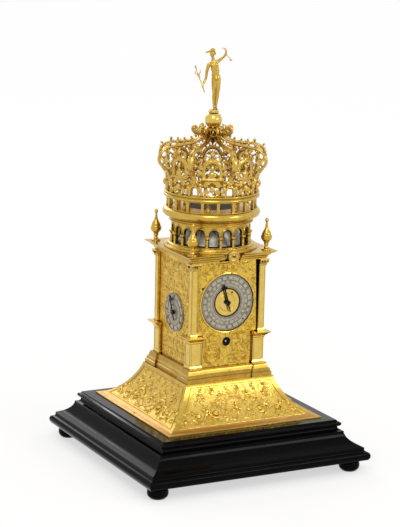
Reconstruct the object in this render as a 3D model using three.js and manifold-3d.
// Astronomical automaton clock: a gilt tower on an ebonised stand, with a bell arcade,
// a gallery with a turning procession, an openwork crown and a figure on a ball.
// Millimetres, +Z up. X runs right along the front, the front faces -Y, and the origin
// is on the floor under the middle of the stand.
import * as THREE from 'three';
import { mergeVertices } from 'three/addons/utils/BufferGeometryUtils.js';
import Module from 'manifold-3d';

const wasm = await Module();
wasm.setup();

// Sides of the turned rings
const ringSides = 24;

// Clearances
const gap = 0.3;
const runningGap = 0.4;

// Stand
const footHeight = 14;
const footRadius = 12;
const footInset = 17.6;
const plinthHeight = 43.5;
const plinthHalf = 138.6;
const slabHalf = 109.9;

// Skirt
const flangeHalf = 97;
const flangeThickness = 1.4;
const skirtFootHalf = 91.5;
const skirtHeight = 44.4;
const skirtWall = 1.4;
const skirtOpening = 40;
const reliefHeight = 1.4;
const reliefRing = 12.5;
const reliefMiddle = 25.5;

// Tower
const towerBaseHeight = 14.1;
const towerBaseHalf = 52;
const skirtTopHalf = towerBaseHalf + 3.6;
const cornerBlockWidth = 25;
const cornerBlockStep = 2;
const wallHeight = 121;
const postSetback = 5.4;
const postFace = towerBaseHalf - postSetback;
const pedestalWidth = 14;
const pedestalHeight = 37.1;
const pedestalProjection = 5.9;
const pedestalSideProjection = 1.2;
const pilasterWidth = 7.8;
const capitalHeight = 8;
const panelThickness = 1.5;
const panelSetback = 2.8;
const corniceHeight = 10;
const corniceOverhang = 9.5;
const corniceHalf = postFace + corniceOverhang;
const corniceDeck = 1.3;

// Dials, measured up from the tower floor
const frontDialHeight = 73.3;
const dialMargin = 4.7;
const dialClearance = 1;
const chapterInnerRadius = 17;
const frontHandLength = 23.3;
const frontHandAngle = 15;
const sideDialHeight = 56.5;
const sideDialRadius = 22.4;
const sideHandLength = 20;
const sideHandAngle = 25;
const dialThickness = 1.7;
const windingHeight = 28.2;
const windingHoleRadius = 5.2;

// Doors
const seamX = 4;
const leafLean = 2.6;
const hingeInset = 8;
const pivotRadius = 0.7;
const catchX = 1;
const catchRadius = 7;
const catchPin = 1;
const catchTongue = 7;
const catchHeight = 7.2;
const notchLeft = -12.5;
const notchRight = 13.6;

// Drum, gallery and crown
const drumFootHeight = 5.5;
const drumShelf = 2;
const drumRadius = 44.3;
const drumFootProjection = 8.9;
const drumFootRadius = drumRadius + drumFootProjection;
const drumWall = 1.8;
const arcadeHeight = 27.4;
const windowCount = 18;
const windowWidth = 11.4;
const windowPhase = -3;
const galleryHeight = 16.1;
const galleryOverhang = 11.1;
const galleryRadius = drumRadius + galleryOverhang;
const galleryFloorDrop = 1.8;
const balusterHeight = 11.5;
const balusterWidth = 3;
const balusterInset = 5.9;
const balusterPhase = 1;
const balusterCircle = galleryRadius - balusterInset;
const railHeight = 5;
const crownBandHeight = 20;
const crownBandOffset = 3.1;
const crownBandRadius = balusterCircle + crownBandOffset;
const crownWall = 2;
const ledgeHalf = 12.5;
const ledgeRise = 2.2;
const nicheOuter = 11.6;
const nicheInner = 8.8;
const nicheSpring = 8.4;
const ribCount = 8;
const ribWidth = 4.2;
const ribOverhang = 12.2;
const ribBulge = crownBandRadius + ribOverhang;
const ribEnd = 5.8;
const archHeight = 46.5;
const crownTurn = -27.5;
const hubHeight = 6;
const knobHeight = 5.8;
const ballRadius = 9.7;
const ballRise = 8.7;
const plinthRise = 12;
const figureHeight = 67.2;

// Movement
const frameClearance = 1.6;
const frameHalf = postFace - pedestalWidth - frameClearance;
const plateThickness = 2;
const frameHeadroom = 14.5;
const frameHeight = wallHeight - frameHeadroom;
const pillarRadius = 2.2;
const pillarPlace = frameHalf - 3;
const barThickness = 2;
const wheelThickness = 2;
const arborRadius = 1.6;
const pivotPin = 0.8;
const greatTeeth = 30;
const pinionTeeth = 6;
const greatModule = 1.6;
const secondTeeth = 24;
const secondModule = 1.3;
const hourTeeth = 28;
const reportTeeth = 14;
const barrelRadius = 13;
const crownWheelRadius = 7;
const balanceRadius = 14;

// Heights that follow from the stack
const slabTop = footHeight + plinthHeight;
const skirtTop = slabTop + skirtHeight;
const towerFloor = skirtTop + towerBaseHeight;
const corniceBottom = towerFloor + wallHeight;
const deckTop = corniceBottom + corniceHeight;
const arcadeBottom = deckTop + drumShelf;
const galleryBottom = arcadeBottom + arcadeHeight;
const galleryTop = galleryBottom + galleryHeight;
const galleryFloor = galleryTop - galleryFloorDrop;
const railBottom = galleryTop + balusterHeight;
const crownBottom = railBottom + railHeight;
const bandTop = crownBottom + crownBandHeight;
const ribTop = bandTop + archHeight;
const hubBottom = ribTop - hubHeight;
const knobTop = ribTop + knobHeight;
const ballCentre = knobTop + ballRise;
const figureFloor = ballCentre + plinthRise;
const dialZ = towerFloor + frontDialHeight;
const sideDialZ = towerFloor + sideDialHeight;
const windingZ = towerFloor + windingHeight;

// Widths that follow from the tower's faces
const panelFace = postFace - panelSetback;
const panelBack = panelFace - panelThickness;
const pedestalInner = postFace - pedestalWidth;
const upperPanelHalf = postFace - pilasterWidth - 0.9;
const lowerPanelHalf = pedestalInner - pedestalSideProjection - 1.1;
const stepZ = towerFloor + pedestalHeight + 1.2;
const panelBottom = towerFloor + gap;
const panelTop = corniceBottom - gap;
const doorHoleRadius = upperPanelHalf - dialMargin;
const frontDialRadius = doorHoleRadius - dialClearance;
const hingeX = upperPanelHalf - hingeInset;
const hingeY = panelFace - panelThickness / 2;
const corniceInner = postFace - pilasterWidth - 0.8;
const catchZ = corniceBottom + catchHeight;
const catchReach = corniceHalf - 2.4;

// Materials
const metals = {
  gilt: new THREE.MeshStandardMaterial({ color: 0xd2a63a, roughness: 0.32, metalness: 1 }),
  silvered: new THREE.MeshStandardMaterial({ color: 0xa8a291, roughness: 0.45, metalness: 0.8 }),
  blued: new THREE.MeshStandardMaterial({ color: 0x1e1b24, roughness: 0.35, metalness: 1 }),
  bellMetal: new THREE.MeshStandardMaterial({ color: 0x8d8f92, roughness: 0.4, metalness: 1 }),
  iron: new THREE.MeshStandardMaterial({ color: 0x4b4a4c, roughness: 0.5, metalness: 1 }),
  brass: new THREE.MeshStandardMaterial({ color: 0xb58f3c, roughness: 0.4, metalness: 1 }),
  ebonised: new THREE.MeshStandardMaterial({ color: 0x0b0a0a, roughness: 0.18, metalness: 0 }),
};

// Geometry helpers
function signedVolume(geometry) {
  const place = geometry.attributes.position;
  const index = geometry.index.array;
  const a = new THREE.Vector3();
  const b = new THREE.Vector3();
  const c = new THREE.Vector3();
  let sum = 0;
  for (let i = 0; i < index.length; i += 3) {
    a.fromBufferAttribute(place, index[i]);
    b.fromBufferAttribute(place, index[i + 1]);
    c.fromBufferAttribute(place, index[i + 2]);
    sum += a.dot(b.cross(c)) / 6;
  }
  return sum;
}

// Joins shared corners, drops flat triangles at poles and turns the faces outwards.
function closed(geometry) {
  geometry.deleteAttribute('normal');
  geometry.deleteAttribute('uv');
  const merged = mergeVertices(geometry, 1e-4);
  const old = merged.index.array;
  let kept = [];
  for (let i = 0; i < old.length; i += 3) {
    const [a, b, c] = [old[i], old[i + 1], old[i + 2]];
    if (a !== b && b !== c && a !== c) {
      kept.push(a, b, c);
    }
  }
  merged.setIndex(kept);
  if (signedVolume(merged) < 0) {
    kept = kept.slice().reverse();
    merged.setIndex(kept);
  }
  return merged;
}

function toSolid(geometry) {
  const vertProperties = new Float32Array(geometry.attributes.position.array);
  const triVerts = new Uint32Array(geometry.index.array);
  return new wasm.Manifold(new wasm.Mesh({ numProp: 3, vertProperties, triVerts }));
}

function fromSolid(solid) {
  const mesh = solid.getMesh();
  const geometry = new THREE.BufferGeometry();
  geometry.setAttribute('position', new THREE.BufferAttribute(mesh.vertProperties, 3));
  geometry.setIndex(new THREE.BufferAttribute(mesh.triVerts, 1));
  return geometry;
}

function union(...pieces) {
  let solid = toSolid(pieces[0]);
  for (const piece of pieces.slice(1)) {
    solid = solid.add(toSolid(piece));
  }
  return fromSolid(solid);
}

function cut(body, ...cutters) {
  let solid = toSolid(body);
  for (const cutter of cutters) {
    solid = solid.subtract(toSolid(cutter));
  }
  return fromSolid(solid);
}

function common(first, second) {
  return fromSolid(toSolid(first).intersect(toSolid(second)));
}

function box(x0, x1, y0, y1, z0, z1) {
  const geometry = new THREE.BoxGeometry(x1 - x0, y1 - y0, z1 - z0);
  geometry.translate((x0 + x1) / 2, (y0 + y1) / 2, (z0 + z1) / 2);
  return closed(geometry);
}

// A turned piece: profile points are [radius, height], round the Z axis.
function turned(profile, segments, phase = 0) {
  const points = profile.map(([radius, height]) => new THREE.Vector2(radius, height));
  const geometry = new THREE.LatheGeometry(points, segments, phase);
  geometry.rotateX(Math.PI / 2);
  return closed(geometry);
}

// A square moulding: the same profile mitred round four sides, points are [half, height].
function squareMoulding(profile) {
  const corners = profile.map(([half, height]) => [half * Math.SQRT2, height]);
  return turned(corners, 4, Math.PI / 4);
}

function rod(radius, z0, z1, sides = 8) {
  return turned([[0, z0], [radius, z0], [radius, z1], [0, z1]], sides);
}

// Flat plates cut from an outline and given a thickness along Y or X.
const ontoY = new THREE.Matrix4().makeBasis(
  new THREE.Vector3(1, 0, 0),
  new THREE.Vector3(0, 0, 1),
  new THREE.Vector3(0, -1, 0),
);
const ontoX = new THREE.Matrix4().makeBasis(
  new THREE.Vector3(0, 1, 0),
  new THREE.Vector3(0, 0, 1),
  new THREE.Vector3(1, 0, 0),
);

function extrude(shape, depth, curveSegments = 8) {
  return new THREE.ExtrudeGeometry(shape, { depth, bevelEnabled: false, curveSegments });
}

function plateY(shape, y0, y1, curveSegments = 8) {
  const geometry = extrude(shape, y1 - y0, curveSegments);
  geometry.applyMatrix4(ontoY);
  geometry.translate(0, y1, 0);
  return closed(geometry);
}

function plateX(shape, x0, x1, curveSegments = 8) {
  const geometry = extrude(shape, x1 - x0, curveSegments);
  geometry.applyMatrix4(ontoX);
  geometry.translate(x0, 0, 0);
  return closed(geometry);
}

// Round bars along Y or X through a given centre.
function rodY(x, z, radius, y0, y1, sides = 8) {
  const geometry = rod(radius, -y1, -y0, sides);
  geometry.applyMatrix4(new THREE.Matrix4().makeRotationX(Math.PI / 2));
  geometry.translate(x, 0, z);
  return geometry;
}

function rodX(y, z, radius, x0, x1, sides = 8) {
  const geometry = rod(radius, x0, x1, sides);
  geometry.applyMatrix4(new THREE.Matrix4().makeRotationY(Math.PI / 2));
  geometry.translate(0, y, z);
  return geometry;
}

function discShape(x, z, radius) {
  return new THREE.Shape().absarc(x, z, radius, 0, Math.PI * 2);
}

function polygon(points) {
  return new THREE.Shape(points.map(([x, y]) => new THREE.Vector2(x, y)));
}

function moved(geometry, x, y, z) {
  return geometry.clone().translate(x, y, z);
}

function turnedAbout(geometry, degrees) {
  return geometry.clone().rotateZ(THREE.MathUtils.degToRad(degrees));
}

function mirrored(geometry, sx, sy) {
  return closed(geometry.clone().scale(sx, sy, 1));
}

// Repeats a piece round the Z axis and joins the copies.
function ringOf(piece, count, startDegrees) {
  const copies = [];
  for (let i = 0; i < count; i += 1) {
    copies.push(turnedAbout(piece, startDegrees + (360 * i) / count));
  }
  return copies;
}

const group = new THREE.Group();

function add(name, geometry, material, place = [0, 0, 0]) {
  const mesh = new THREE.Mesh(geometry, material);
  mesh.name = name;
  mesh.position.set(...place);
  group.add(mesh);
  return mesh;
}

// Wooden stand: ogee, flare, flat edge and a heavy lower bead, mitred at the corners.
function standGeometry() {
  const top = slabTop;
  return squareMoulding([
    [0, footHeight],
    [plinthHalf - 1.6, footHeight],
    [plinthHalf - 0.6, top - 41.4],
    [plinthHalf, top - 38],
    [plinthHalf - 1.2, top - 34.8],
    [plinthHalf - 5, top - 33.4],
    [plinthHalf - 5.6, top - 29.3],
    [plinthHalf - 12.4, top - 27.6],
    [plinthHalf - 15.4, top - 25],
    [plinthHalf - 18.8, top - 21],
    [plinthHalf - 20.6, top - 16.6],
    [plinthHalf - 22.9, top - 12.9],
    [slabHalf + 3.4, top - 12.7],
    [slabHalf + 0.4, top - 8.8],
    [slabHalf + 1.2, top - 7],
    [slabHalf + 3.6, top - 4.3],
    [slabHalf + 2.4, top - 1.6],
    [slabHalf, top],
    [0, top],
  ]);
}

function bunFootGeometry() {
  return turned([
    [0, 0],
    [footRadius * 0.62, 0],
    [footRadius * 0.93, footHeight * 0.22],
    [footRadius, footHeight * 0.5],
    [footRadius * 0.93, footHeight * 0.78],
    [footRadius * 0.7, footHeight],
    [0, footHeight],
  ], 10);
}

// Concave sheet skirt: a flange, a hollow curve up to the tower and a shelf for its base.
function skirtLine() {
  return new THREE.QuadraticBezierCurve(
    new THREE.Vector2(skirtFootHalf, flangeThickness),
    new THREE.Vector2(skirtTopHalf + 14.8, skirtHeight * 0.205),
    new THREE.Vector2(skirtTopHalf, skirtHeight),
  ).getPoints(10);
}

function skirtGeometry() {
  const inner = new THREE.QuadraticBezierCurve(
    new THREE.Vector2(skirtFootHalf - 2.4 * skirtWall, 0),
    new THREE.Vector2(skirtTopHalf + 14.8 - 1.4 * skirtWall, skirtHeight * 0.205 - 0.7 * skirtWall),
    new THREE.Vector2(skirtTopHalf - skirtWall, skirtHeight - skirtWall),
  );
  const profile = [[flangeHalf, 0], [flangeHalf, flangeThickness]];
  for (const point of skirtLine()) {
    profile.push([point.x, point.y]);
  }
  profile.push([skirtOpening, skirtHeight], [skirtOpening, skirtHeight - skirtWall]);
  for (const point of inner.getPoints(10).reverse()) {
    profile.push([point.x, point.y]);
  }
  profile.push([flangeHalf, 0]);
  const shell = squareMoulding(profile.map(([half, height]) => [half, height + slabTop]));
  const relief = reliefShapes().map((shape) => ontoSkirt(plateY(shape, -reliefHeight, skirtWall / 2, 7)));
  return union(shell, ...relief.flatMap((piece) => ringOf(piece, 4, 0)));
}

// Relief on the skirt's front: a strapwork ring with a boss, and scrolls each side of it.
function reliefShapes() {
  const ring = discShape(0, reliefMiddle, reliefRing);
  const hole = new THREE.Path();
  ring.holes.push(hole.absarc(0, reliefMiddle, reliefRing - 2.4, 0, Math.PI * 2, true));
  const shapes = [ring, rosetteShape(0, reliefMiddle, 4.4)];
  for (const side of [-1, 1]) {
    shapes.push(scrollShape(side * 27, 22, 10.5, 190, -side));
    shapes.push(scrollShape(side * 50, 17.5, 9.4, 165, side));
    shapes.push(rosetteShape(side * 68, 10, 4.6));
  }
  return shapes;
}

function rosetteShape(x, z, radius) {
  const points = [];
  for (let i = 0; i < 10; i += 1) {
    const angle = (Math.PI * i) / 5;
    const reach = i % 2 ? radius * 0.72 : radius;
    points.push([x + reach * Math.cos(angle), z + reach * Math.sin(angle)]);
  }
  return polygon(points);
}

// A scroll is a tapering band wound inwards; start is the angle of its outer end.
function scrollShape(x, z, radius, start, hand) {
  const steps = 9;
  const outside = [];
  const inside = [];
  for (let i = 0; i <= steps; i += 1) {
    const share = i / steps;
    const turn = THREE.MathUtils.degToRad(hand > 0 ? start : 180 - start) + hand * share * 7.4;
    const middle = radius * (1 - 0.72 * share);
    const half = 1.5 - 0.7 * share;
    outside.push([x + (middle + half) * Math.cos(turn), z + (middle + half) * Math.sin(turn)]);
    inside.push([x + (middle - half) * Math.cos(turn), z + (middle - half) * Math.sin(turn)]);
  }
  return polygon([...outside, ...inside.reverse()]);
}

// Bends a flat plate onto the skirt: x runs along the side, z up the slope, -y is its face.
function ontoSkirt(plate) {
  const line = skirtLine();
  const place = plate.attributes.position;
  for (let i = 0; i < place.count; i += 1) {
    let along = place.getZ(i);
    let step = 1;
    while (step < line.length - 1 && along > line[step].distanceTo(line[step - 1])) {
      along -= line[step].distanceTo(line[step - 1]);
      step += 1;
    }
    const run = line[step].clone().sub(line[step - 1]).normalize();
    const lift = -place.getY(i);
    const half = line[step - 1].x + run.x * along + run.y * lift;
    const height = line[step - 1].y + run.y * along - run.x * lift;
    place.setXYZ(i, place.getX(i), -half, slabTop + height);
  }
  return closed(plate);
}

// Base moulding of the tower with a block standing forward under each corner post.
function baseSteps(extra) {
  return [
    [towerBaseHalf + extra, 0],
    [towerBaseHalf + extra, towerBaseHeight * 0.32],
    [towerBaseHalf - 1.2 + extra, towerBaseHeight * 0.36],
    [towerBaseHalf - 1.2 + extra, towerBaseHeight * 0.52],
    [towerBaseHalf - 2.8 + extra, towerBaseHeight * 0.62],
    [towerBaseHalf - 3.6 + extra, towerBaseHeight * 0.8],
    [towerBaseHalf - 4.2 + extra, towerBaseHeight * 0.9],
    [towerBaseHalf - 4.2 + extra, towerBaseHeight],
  ];
}

function pivotHoles(z0, z1) {
  const hole = rod(pivotRadius + gap, z0, z1, 6);
  return [
    moved(hole, -hingeX, -hingeY, 0),
    moved(hole, hingeX, -hingeY, 0),
    moved(hole, hingeX, hingeY, 0),
  ];
}

function towerBaseGeometry() {
  const innerHalf = frameHalf - 3;
  const ring = squareMoulding([
    [innerHalf, 0],
    ...baseSteps(0),
    [innerHalf, towerBaseHeight],
    [innerHalf, 0],
  ]);
  const centre = towerBaseHalf + cornerBlockStep - cornerBlockWidth / 2;
  const block = squareMoulding([
    [0, 0],
    ...baseSteps(cornerBlockStep - centre),
    [0, towerBaseHeight],
  ]);
  const blocks = [[-1, -1], [1, -1], [1, 1], [-1, 1]].map(
    ([sx, sy]) => moved(block, sx * centre, sy * centre, 0),
  );
  const whole = union(ring, ...blocks).translate(0, 0, skirtTop);
  return cut(whole, ...pivotHoles(towerFloor - 1.8, towerFloor + 1));
}

// Corner post: each level is [inner face, outer face, height above the tower floor].
function cornerPostGeometry() {
  const inner = pedestalInner;
  const outer = postFace;
  const pilaster = postFace - pilasterWidth;
  const sideStop = inner - pedestalSideProjection;
  const cap = wallHeight - capitalHeight;
  const levels = [
    [inner - 0.7, outer + 0.7, 0],
    [inner - 0.7, outer + 0.7, 2],
    [inner, outer, 3.6],
    [inner, outer, pedestalHeight - 7.6],
    [inner - 0.4, outer + 1, pedestalHeight - 6.5],
    [inner - 0.4, outer + 1, pedestalHeight - 5.3],
    [sideStop, outer + pedestalProjection * 0.72, pedestalHeight - 2.5],
    [sideStop, outer + pedestalProjection, pedestalHeight - 1.1],
    [sideStop, outer + pedestalProjection, pedestalHeight],
    [pilaster - 0.4, outer + 0.3, pedestalHeight],
    [pilaster - 0.4, outer + 0.3, pedestalHeight + 1.9],
    [pilaster, outer - 0.1, pedestalHeight + 2.9],
    [pilaster, outer - 0.1, cap],
    [pilaster - 0.3, outer + 0.4, cap + 0.6],
    [pilaster - 0.3, outer + 0.4, cap + 1.6],
    [pilaster, outer + 0.1, cap + 2],
    [pilaster - 0.3, outer + 2.2, cap + 5.6],
    [pilaster - 0.3, outer + 3, cap + 6.6],
    [pilaster - 0.3, outer + 3, wallHeight],
  ];
  const profile = levels.map(([low, high, z]) => [(high - low) / 2, z]);
  profile.unshift([0, 0]);
  profile.push([0, wallHeight]);
  const geometry = squareMoulding(profile);
  const place = geometry.attributes.position;
  const shifts = levels.map(([low, high, z]) => ({ z, half: (high - low) / 2, mid: (high + low) / 2 }));
  for (let i = 0; i < place.count; i += 1) {
    const half = Math.abs(place.getX(i));
    const z = place.getZ(i);
    const level = shifts.reduce((best, one) => {
      const miss = Math.abs(one.z - z) + Math.abs(one.half - half);
      return miss < best.miss ? { ...one, miss } : best;
    }, { miss: Infinity });
    place.setX(i, place.getX(i) + level.mid);
    place.setY(i, place.getY(i) + level.mid);
  }
  return geometry.translate(0, 0, towerFloor);
}

// Wall outline: full width between the pilasters, narrower between the pedestals. The old
// right leaf leans away from its post at the top.
function wallShape(left, right, lean = 0) {
  const lowLeft = Math.max(left, -lowerPanelHalf);
  const lowRight = Math.min(right, lowerPanelHalf);
  const points = [[lowLeft, panelBottom], [lowRight, panelBottom]];
  if (right > lowRight) {
    points.push([lowRight, stepZ], [right, stepZ]);
  }
  points.push([right - lean, panelTop], [left, panelTop]);
  if (left < lowLeft) {
    points.push([left, stepZ], [lowLeft, stepZ]);
  }
  return polygon(points);
}

function pivotPins(x, y) {
  return [
    moved(rod(pivotRadius, panelBottom - 1.5, panelBottom + 1, 6), x, y, 0),
    moved(rod(pivotRadius, panelTop - 1, panelTop + 1.5, 6), x, y, 0),
  ];
}

// Front door leaf: half of a plate with a rim round the dial, cut at the off-centre seam.
function frontDoorGeometry(left, right, pinX, lean = 0) {
  const plate = plateY(wallShape(left, right, lean), -panelFace, -panelBack);
  const rimShape = discShape(0, dialZ, doorHoleRadius + 2);
  const rim = plateY(rimShape, -panelFace - 0.7, -panelFace + 0.5, 14);
  const rimPart = common(rim, box(left, right, -panelFace - 2, -panelBack, panelBottom, panelTop));
  const dialHole = plateY(discShape(0, dialZ, doorHoleRadius), -panelFace - 3, -panelBack + 3, 14);
  const keyHole = rodY(0, windingZ, windingHoleRadius, -panelFace - 3, -panelBack + 3, 14);
  const body = cut(union(plate, rimPart), dialHole, keyHole);
  return union(body, ...pivotPins(pinX, -hingeY));
}

// Bracket on the right leaf that stands in the cornice notch and reaches over the seam to
// carry the catch.
function catchBracket() {
  const half = catchPin + gap + 0.6;
  const left = seamX + gap;
  const right = left + 2 * half;
  const upright = box(left, right, -panelFace, -panelBack - 0.1, panelTop - 4, catchZ + half);
  const arm = box(catchX - half, right, -catchReach, -panelFace + 0.5, catchZ - half, catchZ + half);
  const bore = rodY(catchX, catchZ, catchPin + gap, -catchReach - 1, -panelBack + 1, 6);
  return cut(union(upright, arm), bore);
}

// Catch: a rosette in front, a pin through the bracket and a tongue that hooks behind the
// cornice when it is turned. It hangs straight down when it is let go.
function catchGeometry() {
  const rosette = turned([
    [0, 0],
    [catchRadius, 0],
    [catchRadius, 0.7],
    [catchRadius * 0.7, 1.6],
    [catchRadius * 0.34, 1],
    [0, 2],
  ], 12);
  const facing = rosette.applyMatrix4(new THREE.Matrix4().makeRotationX(Math.PI / 2));
  facing.translate(0, -catchReach - gap, 0);
  const tongueFront = -corniceInner + 0.6;
  const pin = rodY(0, 0, catchPin, -catchReach - gap - 0.5, tongueFront + 1, 6);
  const tongue = box(-catchPin, catchPin, tongueFront, tongueFront + 1.2, -catchTongue, catchPin);
  return union(facing, pin, tongue).translate(catchX, 0, catchZ);
}

function rearDoorGeometry() {
  const shape = wallShape(-upperPanelHalf, upperPanelHalf);
  const plate = plateY(shape, panelBack, panelFace);
  const keyHole = rodY(0, windingZ, windingHoleRadius, panelBack - 3, panelFace + 3, 14);
  return union(cut(plate, keyHole), ...pivotPins(hingeX, hingeY));
}

function sidePanelGeometry(side) {
  const shape = wallShape(-upperPanelHalf, upperPanelHalf);
  const low = side < 0 ? -panelFace : panelBack;
  const plate = plateX(shape, low, low + panelThickness);
  const hole = rodX(0, sideDialZ, arborRadius + runningGap, -panelFace - 3, panelFace + 3);
  return cut(plate, hole);
}

function sideDialGeometry(side) {
  const disc = rodX(0, sideDialZ, sideDialRadius, 0, 1.1, 28);
  const placed = disc.translate(side < 0 ? -panelFace - 1.1 : panelFace, 0, 0);
  return cut(placed, rodX(0, sideDialZ, arborRadius + runningGap, -postFace, postFace));
}

// A hand drawn upright in its own plane: boss, tapering blade with a cross-shaped head, tail.
function handShape(length, tail) {
  const head = length * 0.76;
  const right = [
    [1, 2.1], [0.7, head - 2.6], [1.3, head - 1.4], [3.5, head - 1.2], [3, head + 0.9],
    [1.3, head + 1.2], [0.9, head + 2.4],
  ];
  const left = right.map(([x, y]) => [-x, y]).reverse();
  const lower = [[-1.9, 1.3], [-2.3, 0], [-1.6, -1.7], [-0.9, -2.3], [-0.35, -tail]];
  const lowerRight = lower.map(([x, y]) => [-x, y]).reverse();
  return polygon([...right, [0, length], ...left, ...lower, ...lowerRight]);
}

function frontHandGeometry() {
  const hand = plateY(handShape(frontHandLength, 11), -0.9, 0);
  const boss = rodY(0, 0, 2.8, -1.6, 1.1, 12);
  const whole = union(hand, boss);
  whole.rotateY(THREE.MathUtils.degToRad(-frontHandAngle));
  return whole;
}

function sideHandGeometry(side) {
  const hand = plateX(handShape(sideHandLength, 10), -0.9, 0);
  const boss = rodX(0, 0, 2.7, -1.5, 0.6, 8);
  const arbor = rodX(0, 0, arborRadius, -0.5, 9, 6);
  const collar = rodX(0, 0, arborRadius + 1.6, 5.2, 7, 6);
  const whole = union(hand, boss, arbor, collar);
  whole.rotateX(THREE.MathUtils.degToRad(side * sideHandAngle));
  return side < 0 ? whole : mirrored(whole, -1, 1);
}

// Chapter ring, alarm disc and the plate behind them that a strap holds to the movement.
const dialPlateFront = -panelBack + 0.1;
const dialPlateThickness = 1.2;
const alarmRadius = chapterInnerRadius - 0.8;

function chapterRingGeometry() {
  const shape = discShape(0, dialZ, frontDialRadius);
  shape.holes.push(new THREE.Path().absarc(0, dialZ, chapterInnerRadius, 0, Math.PI * 2, true));
  return plateY(shape, dialPlateFront - dialThickness, dialPlateFront, 14);
}

function alarmDiscGeometry() {
  const disc = plateY(discShape(0, dialZ, alarmRadius), dialPlateFront - 1.3, dialPlateFront - gap, 12);
  const setting = THREE.MathUtils.degToRad(28);
  const settingX = 12.4 * Math.sin(setting);
  const settingZ = dialZ + 12.4 * Math.cos(setting);
  const centreHole = rodY(0, dialZ, arborRadius + runningGap, dialPlateFront - 3, dialPlateFront + 3);
  const settingHole = rodY(settingX, settingZ, 0.9, dialPlateFront - 3, dialPlateFront + 3, 6);
  return cut(disc, centreHole, settingHole);
}

const frameFloor = towerFloor;
const frameTop = towerFloor + frameHeight;
const topPlateBottom = frameTop;
const topPlateTop = frameTop + plateThickness;

function dialPlateGeometry() {
  const back = dialPlateFront + dialPlateThickness;
  const disc = plateY(discShape(0, dialZ, hingeX - 1.4), dialPlateFront, back, 10);
  const hole = rodY(0, dialZ, arborRadius + runningGap, dialPlateFront - 3, back + 3);
  const strap = box(-4, 4, dialPlateFront, back, dialZ + 20, topPlateTop + 1.2);
  const foot = box(-4, 4, dialPlateFront, -frameHalf + 3, topPlateTop, topPlateTop + 1.2);
  return union(cut(disc, hole), strap, foot);
}

// Top cornice: a moulded cap whose deck carries the drum, notched at the front for the catch,
// with a slot behind the notch that lets the catch's tongue through.
function corniceGeometry() {
  const half = corniceHalf;
  const inner = corniceInner;
  const cap = squareMoulding([
    [0, corniceHeight - corniceDeck],
    [inner, corniceHeight - corniceDeck],
    [inner, 0],
    [half - 9.2, 0],
    [half - 9.2, 1.2],
    [half - 7.9, 2.4],
    [half - 7.9, 3.4],
    [half - 5.7, 5.2],
    [half - 5.1, 6.6],
    [half - 2.7, 7.6],
    [half - 1.5, 8.9],
    [half, 9.1],
    [half, corniceHeight],
    [0, corniceHeight],
  ]).translate(0, 0, corniceBottom);
  const notch = box(notchLeft, notchRight, -half - 2, -panelBack + 2, corniceBottom - 2, deckTop + 2);
  const slot = box(
    catchX - catchPin - 2.2, catchX + catchPin + 1, -panelBack, -inner + 1,
    corniceBottom - 2, catchZ + catchPin + 0.7,
  );
  return cut(cap, notch, slot, ...pivotHoles(corniceBottom - 1, corniceBottom + 1.8));
}

function finialGeometry() {
  return turned([
    [0, 0],
    [5.4, 0],
    [5.2, 1.6],
    [2.1, 3.4],
    [2.1, 6.8],
    [5.9, 12.4],
    [5.7, 16.4],
    [1, 30.6],
    [1.8, 33.4],
    [0, 36.6],
  ], 8);
}

// Drum foot: two steps and a shelf that the arcade stands on.
function drumFootGeometry() {
  return turned([
    [drumRadius - 2.3, 0],
    [drumFootRadius, 0],
    [drumFootRadius, 1.4],
    [drumFootRadius - 3.9, drumShelf],
    [drumFootRadius - 4.2, drumFootHeight - 1],
    [drumFootRadius - 5.6, drumFootHeight],
    [drumRadius + 0.6, drumFootHeight],
    [drumRadius + 0.6, drumShelf],
    [drumRadius - 2.3, drumShelf],
    [drumRadius - 2.3, 0],
  ], ringSides).translate(0, 0, deckTop);
}

// Arcade: round-headed windows pinched by an impost, one cutter turned round the drum.
function arcadeGeometry() {
  const outer = drumRadius;
  const inner = drumRadius - drumWall;
  const ring = turned([
    [inner, 0],
    [outer, 0],
    [outer, arcadeHeight],
    [inner, arcadeHeight],
    [inner, 0],
  ], windowCount, THREE.MathUtils.degToRad(180 / windowCount - windowPhase));
  const half = windowWidth / 2;
  const sill = drumFootHeight - drumShelf;
  const impost = sill + 10.2;
  const window = new THREE.Shape();
  window.moveTo(-half, sill);
  window.lineTo(half, sill);
  window.lineTo(half, impost);
  window.lineTo(half - 1.3, impost + 1.2);
  window.absarc(0, impost + 4.2, half - 0.3, 0, Math.PI);
  window.lineTo(-half + 1.3, impost + 1.2);
  window.lineTo(-half, impost);
  const cutter = plateY(window, -outer - 3, -inner + 3, 2);
  return cut(ring, ...ringOf(cutter, windowCount, windowPhase)).translate(0, 0, arcadeBottom);
}

// Bell and the post that it hangs on: a shoulder under its crown and a nut above.
const bellClearance = 5.8;
const bellMouth = drumRadius - bellClearance;
const bellWall = 1.8;
const bellBottom = deckTop + 4;
const bellHeight = 27.4;

function bellGeometry() {
  const outer = [
    [bellMouth, 0], [bellMouth - 5, 7], [bellMouth - 9, 17], [bellMouth - 14, bellHeight],
  ];
  const inner = outer.map(([r, z]) => [r - bellWall, z - bellWall * 0.9]).slice(1).reverse();
  const hole = 2.8;
  return turned([
    ...outer,
    [hole, bellHeight],
    [hole, bellHeight - bellWall * 0.9],
    ...inner,
    [bellMouth - bellWall, 0],
    [bellMouth, 0],
  ], 20).translate(0, 0, bellBottom);
}

function bellPostGeometry() {
  const top = bellBottom + bellHeight;
  const shoulder = top - bellWall * 0.9 - gap;
  return turned([
    [0, deckTop],
    [9, deckTop],
    [8, deckTop + 1.6],
    [2.4, deckTop + 1.6],
    [2.4, shoulder - 2],
    [5, shoulder - 2],
    [5, shoulder],
    [2.2, shoulder],
    [2.2, top + gap],
    [4, top + gap],
    [3.6, top + gap + 1.2],
    [0, top + gap + 1.2],
  ], 10);
}

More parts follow.
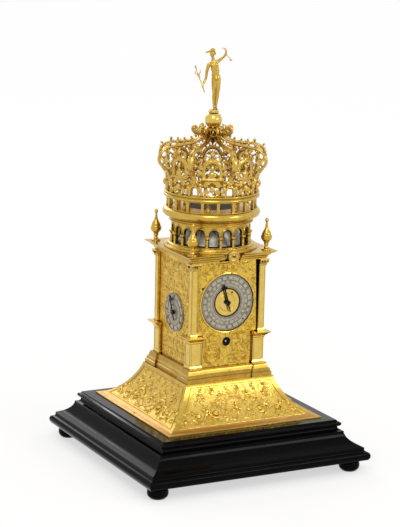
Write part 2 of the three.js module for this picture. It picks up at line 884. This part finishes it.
// Hammer: a sprung arm on a cross pin between two cheeks, its head inside the bell's mouth.
const hammerY = 20;
const hammerPivot = 3.6;

function hammerGeometry() {
  const arm = box(-1.2, 1.2, -1.2, 1.2, 0, 6);
  const tail = box(-1, 1, 0, 6.8, 4, 6);
  const head = rodY(0, 5, 2.4, 6, 11, 8);
  const pin = rodX(0, 0, 1, -3.4, 3.4, 6);
  const eye = rodX(0, 0, 1.9, -1.2, 1.2, 6);
  return union(arm, tail, head, pin, eye).translate(0, hammerY, deckTop + hammerPivot);
}

function hammerCheeksGeometry() {
  const hole = rodX(hammerY, deckTop + hammerPivot, 1 + gap, -8, 8);
  const foot = box(-4.6, 4.6, hammerY - 3, hammerY + 3, deckTop, deckTop + 1);
  const left = box(-4.6, -1.8, hammerY - 3, hammerY + 3, deckTop, deckTop + 6.4);
  const right = box(1.8, 4.6, hammerY - 3, hammerY + 3, deckTop, deckTop + 6.4);
  return cut(union(foot, left, right), hole);
}

// Gallery: neck ring, hollow, a full torus and the floor that the procession turns on.
function galleryGeometry() {
  const torusRadius = 5.8;
  const torusCentre = galleryRadius - torusRadius;
  const torusZ = 10.4;
  const arc = [];
  const arcSteps = 5;
  for (let i = 0; i <= arcSteps; i += 1) {
    const angle = THREE.MathUtils.degToRad(-72 + (144 * i) / arcSteps);
    arc.push([torusCentre + torusRadius * Math.cos(angle), torusZ + torusRadius * Math.sin(angle)]);
  }
  const neck = drumRadius + 2.9;
  const hub = 3.1;
  return turned([
    [hub, 4.4],
    [drumRadius - 3.8, 4.4],
    [drumRadius - 3.8, 0],
    [neck, 0],
    [neck + 0.8, 1.4],
    [neck - 0.6, 2.8],
    ...arc,
    [torusCentre - 4, galleryHeight],
    [torusCentre - 4, galleryHeight - galleryFloorDrop],
    [hub, galleryHeight - galleryFloorDrop],
    [hub, 4.4],
  ], ringSides).translate(0, 0, galleryBottom);
}

// Balustrade: square posts over the windows and a rounded rail.
function balustradeGeometry() {
  const rail = turned([
    [balusterCircle - 1.9, 0],
    [balusterCircle + 3.4, 0],
    [balusterCircle + 4.9, 1.6],
    [balusterCircle + 4.9, 2.9],
    [balusterCircle + 3.5, railHeight],
    [balusterCircle - 1.9, railHeight],
    [balusterCircle - 1.9, 0],
  ], ringSides).translate(0, 0, railBottom);
  const half = balusterWidth / 2;
  const post = box(-half, half, -balusterCircle - half, -balusterCircle + half, galleryTop, railBottom + 1);
  return union(rail, ...ringOf(post, windowCount, balusterPhase));
}

// Procession: a turning disc with small robed figures walking round it.
function carouselGeometry() {
  const bottom = galleryFloor + gap;
  const disc = turned([
    [0, galleryBottom + 6],
    [2.7, galleryBottom + 6],
    [2.7, bottom],
    [galleryRadius - 10.8, bottom],
    [galleryRadius - 10.8, bottom + 1.3],
    [0, bottom + 1.3],
  ], 24);
  const walker = turned([[0, 0], [2.6, 0], [2, 6.2], [0.9, 7.4], [1.3, 8.8], [0, 10]], 5);
  const placed = moved(walker, 0, -(galleryRadius - 15.9), bottom + 1);
  return union(disc, ...ringOf(placed, 8, 12));
}

// Crown band: a moulded foot and a wall pierced by a gate under each rib and two eyes in
// each bay, with the crest standing on it.
function crownBandGeometry() {
  const outer = crownBandRadius;
  const inner = crownBandRadius - crownWall;
  const ring = turned([
    [inner - 0.8, 0],
    [outer + 1, 0],
    [outer, 2.4],
    [outer, crownBandHeight],
    [inner, crownBandHeight],
    [inner - 0.8, 2.4],
    [inner - 0.8, 0],
  ], ribCount * 3, THREE.MathUtils.degToRad(60 / ribCount - crownTurn));
  const gate = new THREE.Shape();
  gate.moveTo(-4, 3.4);
  gate.lineTo(4, 3.4);
  gate.absarc(0, 9, 4, 0, Math.PI);
  gate.lineTo(-4, 3.4);
  const cutters = [turnedAbout(plateY(gate, -outer - 3, -inner + 3, 2), 180 / ribCount)];
  for (const side of [-1, 1]) {
    cutters.push(turnedAbout(rodY(0, 11, 3.6, -outer - 3, -inner + 3, 6), (side * 70) / ribCount));
  }
  const all = cutters.flatMap((cutter) => ringOf(cutter, ribCount, crownTurn));
  const crest = crestGeometry();
  const pierced = cut(ring, ...all);
  return union(pierced, ...ringOf(crest, ribCount, crownTurn)).translate(0, 0, crownBottom);
}

// Crest of one bay: a ledge, a niche with a bust in it, a ball above and a scroll each side.
function crestGeometry() {
  const wall = crownBandRadius;
  const ledgeTop = crownBandHeight + ledgeRise;
  const ledge = box(-ledgeHalf, ledgeHalf, -wall - 2.2, -wall + 3.4, crownBandHeight - 1, ledgeTop);
  const spring = ledgeTop + nicheSpring;
  const foot = ledgeTop - 0.5;
  const arch = new THREE.Shape();
  arch.moveTo(nicheInner, spring);
  arch.lineTo(nicheInner, foot);
  arch.lineTo(nicheOuter, foot);
  arch.absarc(0, spring, nicheOuter, 0, Math.PI);
  arch.lineTo(-nicheOuter, foot);
  arch.lineTo(-nicheInner, foot);
  arch.absarc(0, spring, nicheInner, Math.PI, 0, true);
  const hood = plateY(arch, -wall + 0.2, -wall + 3, 5);
  const pieces = [ledge, hood];
  for (const side of [-1, 1]) {
    const scroll = polygon([
      [11, -0.4], [16.6, 0], [17.6, 3.4], [16.2, 6.4], [13.6, 7.6], [15.8, 10.6], [15.4, 14.6],
      [12.6, 16.8], [9.4, 15.6], [11, 12], [10.6, 5],
    ].map(([x, z]) => [side * x, z + ledgeTop - 0.4]));
    pieces.push(plateY(scroll, -wall + 0.6, -wall + 2.8));
  }
  const bust = turned([
    [0, -0.3], [4.4, -0.3], [6.2, 3.4], [4.6, 6], [1.7, 7.2], [2.9, 9.8], [2, 12.2], [0, 13],
  ], 6).scale(1, 0.6, 1);
  pieces.push(moved(bust, 0, -wall + 0.9, ledgeTop));
  const finial = turned([[0, -1], [1.5, -1], [1.1, 1.6], [3.1, 4], [2.6, 6.2], [0, 7.6]], 6);
  pieces.push(moved(finial, 0, -wall + 1.6, spring + nicheOuter));
  return union(...pieces);
}

// Rib centre line in the radial plane: [radius, height above the band].
function ribLine() {
  const rise = archHeight;
  const reach = ribBulge - ribEnd;
  return new THREE.SplineCurve([
    [crownBandRadius - 1, -4],
    [ribEnd + reach * 0.856, rise * 0.165],
    [ribEnd + reach, rise * 0.4],
    [ribEnd + reach * 0.946, rise * 0.59],
    [ribEnd + reach * 0.839, rise * 0.68],
    [ribEnd + reach * 0.475, rise * 0.745],
    [ribEnd + reach * 0.254, rise * 0.79],
    [ribEnd + reach * 0.119, rise * 0.87],
    [ribEnd, rise * 0.95],
  ].map(([x, y]) => new THREE.Vector2(x, y)));
}

// One rib: a flat strap that follows the line, with pointed crockets along its back and a
// volute hanging inside.
function ribGeometry() {
  const line = ribLine();
  const steps = 10;
  const crocketSteps = [4, 5, 6, 7];
  const outerEdge = [];
  const innerEdge = [];
  for (let i = 0; i <= steps; i += 1) {
    const t = i / steps;
    const half = 2.3 - 0.9 * t;
    outerEdge.push(beside(line, t, half));
    innerEdge.push(beside(line, t, -half));
    if (crocketSteps.includes(i)) {
      outerEdge.push(beside(line, t + 0.012, half + 4), beside(line, t + 0.034, half + 3));
    }
  }
  const strap = plateX(polygon([...outerEdge, ...innerEdge.reverse()]), -ribWidth / 2, ribWidth / 2);
  const volute = discShape(ribBulge - 13.5, (ribTop - bandTop) * 0.56, 5);
  const scroll = plateX(volute, -ribWidth / 2 + 0.5, ribWidth / 2 - 0.5, 4);
  return union(strap, scroll);
}

// A point beside the rib line, offset outwards by a distance.
function beside(line, t, offset) {
  const point = line.getPoint(t);
  const along = line.getTangent(t);
  return [point.x + along.y * offset, point.y - along.x * offset];
}

function crownArchesGeometry() {
  const rib = ribGeometry().rotateZ(Math.PI).translate(0, 0, bandTop);
  const below = box(-ribWidth, ribWidth, -ribBulge - ribOverhang, 0, crownBottom, bandTop);
  const standing = cut(rib, below);
  const hub = turned([
    [3.8, hubBottom],
    [9.4, hubBottom],
    [11, hubBottom + 2],
    [9, ribTop],
    [3.8, ribTop],
    [3.8, hubBottom],
  ], 12);
  return union(hub, ...ringOf(standing, ribCount, crownTurn + 180 / ribCount));
}

// Knob: a screwed boss over the hub with a nut below, and curled leaves round it.
function knobGeometry() {
  const core = turned([
    [0, hubBottom - 4.6],
    [4.8, hubBottom - 4.6],
    [4.8, hubBottom - gap],
    [3.4, hubBottom - gap],
    [3.4, ribTop + gap],
    [8.6, ribTop + gap],
    [10.4, ribTop + 2.4],
    [8, knobTop],
    [0, knobTop],
  ], 10);
  const leaf = polygon([
    [7, 0.8], [14, 1.4], [19, 0], [21.6, -2.6], [27, 1.6], [26.2, 5.6], [22.4, 7.8], [17.8, 3.4],
    [7, 3.8],
  ]);
  const blade = plateX(leaf, -2.6, 2.6).rotateZ(Math.PI).translate(0, 0, ribTop + 0.4);
  return union(core, ...ringOf(blade, ribCount - 2, crownTurn + 15));
}

// Ball with a small stepped plinth for the figure.
function ballGeometry() {
  const profile = [[0, knobTop]];
  const low = Math.asin(-ballRise / ballRadius);
  const high = THREE.MathUtils.degToRad(62);
  const steps = 6;
  for (let i = 0; i <= steps; i += 1) {
    const angle = low + ((high - low) * i) / steps;
    profile.push([ballRadius * Math.cos(angle), ballCentre + ballRadius * Math.sin(angle)]);
  }
  profile.push([6, figureFloor - 3.1]);
  profile.push([6, figureFloor - 1.5]);
  profile.push([4.8, figureFloor]);
  profile.push([0, figureFloor]);
  return turned(profile, 14);
}

// A tapering limb between two points.
function limb(from, to, fromRadius, toRadius, sides = 6) {
  const a = new THREE.Vector3(...from);
  const b = new THREE.Vector3(...to);
  const length = a.distanceTo(b);
  const geometry = new THREE.CylinderGeometry(toRadius, fromRadius, length, sides);
  const turn = new THREE.Quaternion().setFromUnitVectors(
    new THREE.Vector3(0, 1, 0),
    b.clone().sub(a).normalize(),
  );
  geometry.applyQuaternion(turn);
  geometry.translate((a.x + b.x) / 2, (a.y + b.y) / 2, (a.z + b.z) / 2);
  return closed(geometry);
}

function ball(centre, radius) {
  return closed(new THREE.SphereGeometry(radius, 7, 5)).rotateX(Math.PI / 2).translate(...centre);
}

// Standing nude figure of a classical kind, one arm raised and one holding a flower staff.
function figureGeometry() {
  const h = figureHeight;
  const torso = turned([
    [0, 0.46 * h], [0.064 * h, 0.47 * h], [0.074 * h, 0.52 * h], [0.058 * h, 0.61 * h],
    [0.08 * h, 0.71 * h], [0.092 * h, 0.78 * h], [0.068 * h, 0.83 * h], [0.028 * h, 0.85 * h],
    [0.027 * h, 0.9 * h], [0, 0.9 * h],
  ], 8);
  torso.scale(1, 0.66, 1);
  const pieces = [torso];
  for (const side of [-1, 1]) {
    const hip = [side * 0.037 * h, 0, 0.5 * h];
    const knee = [side * 0.033 * h, -0.012 * h, 0.27 * h];
    const ankle = [side * 0.024 * h, 0.006 * h, 0.018 * h];
    const toe = [side * 0.033 * h, -0.054 * h, 0.0134 * h];
    pieces.push(limb(hip, knee, 0.049 * h, 0.031 * h));
    pieces.push(limb([knee[0], knee[1], 0.285 * h], ankle, 0.033 * h, 0.018 * h));
    pieces.push(limb([ankle[0], 0.018 * h, 0.0134 * h], toe, 0.019 * h, 0.0134 * h));
  }
  pieces.push(ball([0, -0.006 * h, 0.935 * h], 0.061 * h));
  const shoulder = 0.8 * h;
  const elbowDown = [-0.131 * h, 0.006 * h, 0.58 * h];
  const handDown = [-0.214 * h, -0.036 * h, 0.42 * h];
  pieces.push(limb([-0.08 * h, 0, shoulder], elbowDown, 0.03 * h, 0.022 * h));
  pieces.push(limb(elbowDown, handDown, 0.024 * h, 0.0165 * h));
  const staffFoot = [-0.17 * h, -0.036 * h, 0.29 * h];
  const staffHead = [-0.304 * h, -0.036 * h, 0.68 * h];
  pieces.push(limb(staffFoot, staffHead, 0.0105 * h, 0.0105 * h));
  pieces.push(limb([-0.298 * h, -0.036 * h, 0.66 * h], [-0.327 * h, -0.036 * h, 0.76 * h], 0.012 * h, 0.036 * h));
  const elbowUp = [0.186 * h, 0, 0.87 * h];
  const handUp = [0.199 * h, -0.015 * h, 1.035 * h];
  pieces.push(limb([0.08 * h, 0, shoulder], elbowUp, 0.03 * h, 0.022 * h));
  pieces.push(limb([elbowUp[0], 0, 0.855 * h], handUp, 0.024 * h, 0.015 * h));
  pieces.push(limb([0.193 * h, 0, 0.86 * h], [0.268 * h, 0, 0.84 * h], 0.0105 * h, 0.024 * h));
  const whole = union(...pieces);
  const cleared = cut(whole, box(-h, h, -h, h, -h, 0));
  return cleared.rotateZ(THREE.MathUtils.degToRad(crownTurn)).translate(0, 0, figureFloor);
}

// Wheels are toothed discs along Y. Each tooth is pointed and stands on a flat root circle;
// its foot takes a little over half of the tooth pitch.
function gearShape(teeth, module, phase) {
  const pitchRadius = (teeth * module) / 2;
  const root = pitchRadius - 1.25 * module;
  const tip = pitchRadius + 0.85 * module;
  const pitch = (Math.PI * 2) / teeth;
  const points = [];
  for (let i = 0; i < teeth; i += 1) {
    const middle = phase + i * pitch;
    const flank = [[root, -0.27], [tip, 0], [root, 0.27]];
    for (const [radius, share] of flank) {
      const angle = middle + share * pitch;
      points.push([radius * Math.cos(angle), radius * Math.sin(angle)]);
    }
  }
  return polygon(points);
}

function gear(teeth, module, phase, x, z, y0, y1) {
  return plateY(gearShape(teeth, module, phase), y0, y1).translate(x, 0, z);
}

// Train layout in the XZ plane. Great wheels turn on the winding arbors.
const greatRadius = (greatTeeth * greatModule) / 2;
const greatToPinion = ((greatTeeth + pinionTeeth) * greatModule) / 2;
const secondToPinion = ((secondTeeth + pinionTeeth) * secondModule) / 2;
const secondTilt = THREE.MathUtils.degToRad(34);
const secondX = greatToPinion * Math.sin(secondTilt);
const secondZ = windingZ + greatToPinion * Math.cos(secondTilt);
const escapeZ = secondZ + Math.sqrt(secondToPinion ** 2 - secondX ** 2);
const reportModule = (2 * (dialZ - windingZ)) / (hourTeeth + reportTeeth);
const frontBarY = -frameHalf + 1.5;
const rearBarY = frameHalf - 1.5;
const middleBarY = barThickness / 2;
const vergeY = frontBarY + 5.1;
const trainFace = 2.4;
const vergeFoot = escapeZ - crownWheelRadius - 0.4;

function holeY(x, z, radius) {
  return rodY(x, z, radius, -frameHalf - 5, frameHalf + 5);
}

function pillarPlateGeometry() {
  const plate = box(-frameHalf, frameHalf, -frameHalf, frameHalf, frameFloor, frameFloor + plateThickness);
  const pillar = rod(pillarRadius, frameFloor + 1, topPlateBottom);
  const places = [[-1, -1], [1, -1], [1, 1], [-1, 1]];
  return union(plate, ...places.map(([sx, sy]) => moved(pillar, sx * pillarPlace, sy * pillarPlace, 0)));
}

function topPlateGeometry() {
  const plate = box(-frameHalf, frameHalf, -frameHalf, frameHalf, topPlateBottom, topPlateTop);
  return cut(plate, moved(rod(1.4, topPlateBottom - 1, topPlateTop + 1), 0, vergeY, 0));
}

// A bar: an upright strip with an arm to each side pivot.
function barGeometry(y0, y1, arms, holes) {
  const low = frameFloor + plateThickness;
  const strip = box(-5, 5, y0, y1, low, topPlateBottom);
  const pieces = arms.map(([x, z]) => box(Math.min(0, x - 4), Math.max(0, x + 4), y0, y1, z - 4, z + 4));
  const cutters = holes.map(([x, z, radius]) => holeY(x, z, radius));
  return cut(union(strip, ...pieces), ...cutters);
}

function frontBarGeometry() {
  const bar = barGeometry(
    frontBarY - barThickness,
    frontBarY,
    [[secondX, secondZ]],
    [
      [0, windingZ, arborRadius + 0.6 + runningGap],
      [0, dialZ, pivotPin + gap],
      [secondX, secondZ, pivotPin + gap],
    ],
  );
  const escapeFront = vergeY + 1.4;
  const side = box(2.2, 4.6, frontBarY - 1, escapeFront + 1.2, escapeZ - 2.4, escapeZ + 2.4);
  const nose = box(-1.8, 4.6, escapeFront, escapeFront + 1.2, escapeZ - 2.4, escapeZ + 2.4);
  const bore = rodY(0, escapeZ, pivotPin + gap, escapeFront - 1, escapeFront + 3);
  const step = box(-1.4, 1.4, frontBarY - 1, vergeY + 1.6, vergeFoot - gap - 1.2, vergeFoot - gap);
  return union(bar, cut(union(side, nose), bore), step);
}

function middleBarGeometry() {
  return barGeometry(
    -middleBarY,
    middleBarY,
    [[secondX, secondZ], [-secondX, secondZ]],
    [
      [0, windingZ, pivotPin + gap],
      [0, escapeZ, pivotPin + gap],
      [secondX, secondZ, pivotPin + gap],
      [-secondX, secondZ, pivotPin + gap],
    ],
  );
}

function rearBarGeometry() {
  return barGeometry(
    rearBarY,
    rearBarY + barThickness,
    [[-secondX, secondZ]],
    [
      [0, windingZ, arborRadius + 0.6 + runningGap],
      [-secondX, secondZ, pivotPin + gap],
    ],
  );
}

// Going great wheel: barrel, toothed wheel, report pinion and the squared winding arbor.
const goingWheelY = frontBarY + 2.5;
const squareTip = panelBack - 4.8;

function goingWheelGeometry() {
  const wheelEnd = goingWheelY + wheelThickness;
  const report = gear(
    reportTeeth, reportModule, Math.PI / 2, 0, windingZ,
    frontBarY - barThickness - 3.4, frontBarY - barThickness - 1.2,
  );
  return union(
    gear(greatTeeth, greatModule, Math.PI / 2 - secondTilt, 0, windingZ, goingWheelY, wheelEnd),
    rodY(0, windingZ, barrelRadius, wheelEnd - 0.5, wheelEnd + 13, 14),
    rodY(0, windingZ, arborRadius + 0.6, frontBarY - barThickness - 2, goingWheelY + 1),
    rodY(0, windingZ, arborRadius, wheelEnd, -middleBarY - gap),
    rodY(0, windingZ, pivotPin, wheelEnd, -0.2),
    report,
    box(-1.8, 1.8, -squareTip, frontBarY - barThickness - 2, windingZ - 1.8, windingZ + 1.8),
  );
}

// Hour wheel on the arbor that carries the front hand.
const hourArborTip = dialPlateFront - 2.2;

function hourWheelGeometry() {
  const y0 = frontBarY - barThickness - 3.2;
  const y1 = frontBarY - barThickness - 1.4;
  const phase = -Math.PI / 2 + Math.PI / hourTeeth;
  return union(
    gear(hourTeeth, reportModule, phase, 0, dialZ, y0, y1),
    rodY(0, dialZ, arborRadius, hourArborTip, y1 + 0.8),
    rodY(0, dialZ, pivotPin, y1, frontBarY - 0.2),
  );
}

function pinionPhase(direction) {
  return direction + Math.PI / pinionTeeth;
}

function secondWheelGeometry() {
  const toGreat = -Math.PI / 2 - secondTilt;
  const toEscape = Math.atan2(escapeZ - secondZ, -secondX);
  const wheelY = -6.4;
  return union(
    gear(pinionTeeth, greatModule, pinionPhase(toGreat), secondX, secondZ,
      goingWheelY - 0.4, goingWheelY + wheelThickness + 0.4),
    gear(secondTeeth, secondModule, toEscape, secondX, secondZ, wheelY, wheelY + 1.8),
    rodY(secondX, secondZ, arborRadius, frontBarY + gap, -middleBarY - gap),
    rodY(secondX, secondZ, pivotPin, frontBarY - barThickness + 0.3, -0.2),
  );
}

// Crown wheel: sharp teeth standing forward from a rim, on an arbor behind the verge.
function escapeWheelGeometry() {
  const toSecond = Math.atan2(secondZ - escapeZ, secondX);
  const rimY = vergeY + 6;
  const teeth = 11;
  const rimOuter = crownWheelRadius;
  const rimInner = crownWheelRadius - 1.3;
  const cup = rodY(0, escapeZ, rimOuter, vergeY + 1.8, rimY + 1.2, 11);
  const hollow = rodY(0, escapeZ, rimInner, vergeY, rimY, 11);
  const pitch = (Math.PI * 2) / teeth;
  const cutters = [];
  for (let i = 0; i < teeth; i += 1) {
    const slot = box(-1.1, 1.1, vergeY, vergeY + 4.2, rimInner - 1, rimOuter + 1);
    slot.applyMatrix4(new THREE.Matrix4().makeRotationY(i * pitch));
    cutters.push(slot.translate(0, 0, escapeZ));
  }
  const wheel = cut(cup, hollow, ...cutters);
  return union(
    wheel,
    gear(pinionTeeth, secondModule, pinionPhase(toSecond), 0, escapeZ, -6.8, -4.2),
    rodY(0, escapeZ, 1.3, vergeY + trainFace + 0.6, -middleBarY - gap),
    rodY(0, escapeZ, pivotPin, vergeY + 1.7, -0.2),
  );
}

// Verge staff with its two pallets, and the balance wheel above the top plate.
function balanceGeometry() {
  const rimZ = topPlateTop + 3;
  const rim = turned([
    [balanceRadius - 1.6, rimZ],
    [balanceRadius, rimZ],
    [balanceRadius, rimZ + 1.6],
    [balanceRadius - 1.6, rimZ + 1.6],
    [balanceRadius - 1.6, rimZ],
  ], 20);
  const spoke = box(-balanceRadius + 1, balanceRadius - 1, -1, 1, rimZ, rimZ + 1.2);
  const staff = rod(0.8, vergeFoot, rimZ + 3);
  const upper = box(-0.5, 0.5, 0, 1.4, escapeZ + crownWheelRadius - 2, escapeZ + crownWheelRadius);
  const lower = box(0, 1.3, -0.5, 0.5, escapeZ - crownWheelRadius, escapeZ - crownWheelRadius + 2);
  return union(rim, spoke, staff, upper, lower).translate(0, vergeY, 0);
}

function balanceCockGeometry() {
  const armBottom = topPlateTop + 6 + gap;
  const foot = box(-3, 3, vergeY + balanceRadius + 1.6, vergeY + balanceRadius + 7, topPlateTop, armBottom + 1.6);
  const arm = box(-2.4, 2.4, vergeY - 2.4, vergeY + balanceRadius + 3, armBottom, armBottom + 1.6);
  return union(foot, arm);
}

// Striking great wheel with lifting pins, and its fly.
const strikeWheelY = 7;
const liftingPins = 6;

function strikeWheelGeometry() {
  const wheelEnd = strikeWheelY + wheelThickness;
  const pins = [];
  for (let i = 0; i < liftingPins; i += 1) {
    const angle = (Math.PI * 2 * i) / liftingPins;
    const x = (greatRadius - 5) * Math.cos(angle);
    const z = windingZ + (greatRadius - 5) * Math.sin(angle);
    pins.push(rodY(x, z, 0.9, strikeWheelY - 3, strikeWheelY + 0.5, 4));
  }
  return union(
    gear(greatTeeth, greatModule, Math.PI / 2 + secondTilt, 0, windingZ, strikeWheelY, wheelEnd),
    rodY(0, windingZ, barrelRadius, wheelEnd - 0.5, wheelEnd + 13, 14),
    rodY(0, windingZ, arborRadius + 0.6, wheelEnd + 12, rearBarY + barThickness + 2),
    rodY(0, windingZ, arborRadius, middleBarY + gap, strikeWheelY + 1),
    rodY(0, windingZ, pivotPin, 0.2, strikeWheelY),
    box(-1.8, 1.8, rearBarY + barThickness + 2, squareTip, windingZ - 1.8, windingZ + 1.8),
    ...pins,
  );
}

function flyGeometry() {
  const toGreat = -Math.PI / 2 + secondTilt;
  const x = -secondX;
  const vane = box(x - 8.6, x + 8.6, rearBarY - 14.5, rearBarY - 3.5, secondZ - 0.5, secondZ + 0.5);
  return union(
    gear(pinionTeeth, greatModule, pinionPhase(toGreat), x, secondZ, strikeWheelY - 0.4,
      strikeWheelY + wheelThickness + 0.4),
    rodY(x, secondZ, 1.4, middleBarY + gap, rearBarY - gap),
    rodY(x, secondZ, pivotPin, 0.2, rearBarY + barThickness - 0.3),
    vane,
  );
}

// Assembly, from the floor up
add('wooden_base', standGeometry(), metals.ebonised);
const foot = bunFootGeometry();
const footPlace = plinthHalf - footInset;
const corners = [['front_left', -1, -1], ['front_right', 1, -1], ['rear_right', 1, 1], ['rear_left', -1, 1]];
for (const [name, sx, sy] of corners) {
  add(`foot_${name}`, foot, metals.ebonised, [sx * footPlace, sy * footPlace, 0]);
}
add('skirt', skirtGeometry(), metals.gilt);
add('tower_base', towerBaseGeometry(), metals.gilt);
const post = cornerPostGeometry();
const finial = finialGeometry();
const finialPlace = corniceHalf - 9.6;
for (const [name, sx, sy] of corners) {
  add(`corner_post_${name}`, mirrored(post, sx, sy), metals.gilt);
  add(`finial_${name}`, finial, metals.gilt, [sx * finialPlace, sy * finialPlace, deckTop]);
}
add('front_door_left', frontDoorGeometry(-upperPanelHalf, seamX - gap / 2, -hingeX), metals.gilt);
const rightLeaf = frontDoorGeometry(seamX + gap / 2, upperPanelHalf, hingeX, leafLean);
add('front_door_right', union(rightLeaf, catchBracket()), metals.gilt);
add('front_catch', catchGeometry(), metals.gilt);
add('left_panel', sidePanelGeometry(-1), metals.gilt);
add('right_panel', sidePanelGeometry(1), metals.gilt);
add('rear_door', rearDoorGeometry(), metals.gilt);
add('front_dial_ring', chapterRingGeometry(), metals.silvered);
add('alarm_disc', alarmDiscGeometry(), metals.gilt);
add('dial_plate', dialPlateGeometry(), metals.brass);
add('front_hand', frontHandGeometry(), metals.blued, [0, hourArborTip - 1.1, dialZ]);
add('left_dial', sideDialGeometry(-1), metals.silvered);
add('left_hand', sideHandGeometry(-1), metals.blued, [-panelFace - 2.6, 0, sideDialZ]);
add('right_dial', sideDialGeometry(1), metals.silvered);
add('right_hand', sideHandGeometry(1), metals.blued, [panelFace + 2.6, 0, sideDialZ]);
add('top_cornice', corniceGeometry(), metals.gilt);
add('drum_foot_ring', drumFootGeometry(), metals.gilt);
add('arcade', arcadeGeometry(), metals.gilt);
add('bell', bellGeometry(), metals.bellMetal);
add('bell_post', bellPostGeometry(), metals.iron);
add('bell_hammer', hammerGeometry(), metals.iron);
add('hammer_cheeks', hammerCheeksGeometry(), metals.iron);
add('gallery_cornice', galleryGeometry(), metals.gilt);
add('balustrade', balustradeGeometry(), metals.gilt);
add('carousel', carouselGeometry(), metals.gilt);
add('crown_band', crownBandGeometry(), metals.gilt);
add('crown_arches', crownArchesGeometry(), metals.gilt);
add('crown_knob', knobGeometry(), metals.gilt);
add('ball', ballGeometry(), metals.gilt);
add('top_figure', figureGeometry(), metals.gilt);
add('pillar_plate', pillarPlateGeometry(), metals.iron);
add('top_plate', topPlateGeometry(), metals.iron);
add('front_bar', frontBarGeometry(), metals.iron);
add('middle_bar', middleBarGeometry(), metals.iron);
add('rear_bar', rearBarGeometry(), metals.iron);
add('going_wheel', goingWheelGeometry(), metals.brass);
add('hour_wheel', hourWheelGeometry(), metals.brass);
add('second_wheel', secondWheelGeometry(), metals.brass);
add('escape_wheel', escapeWheelGeometry(), metals.brass);
add('balance', balanceGeometry(), metals.iron);
add('balance_cock', balanceCockGeometry(), metals.brass);
add('strike_wheel', strikeWheelGeometry(), metals.brass);
add('fly', flyGeometry(), metals.brass);

export default group;
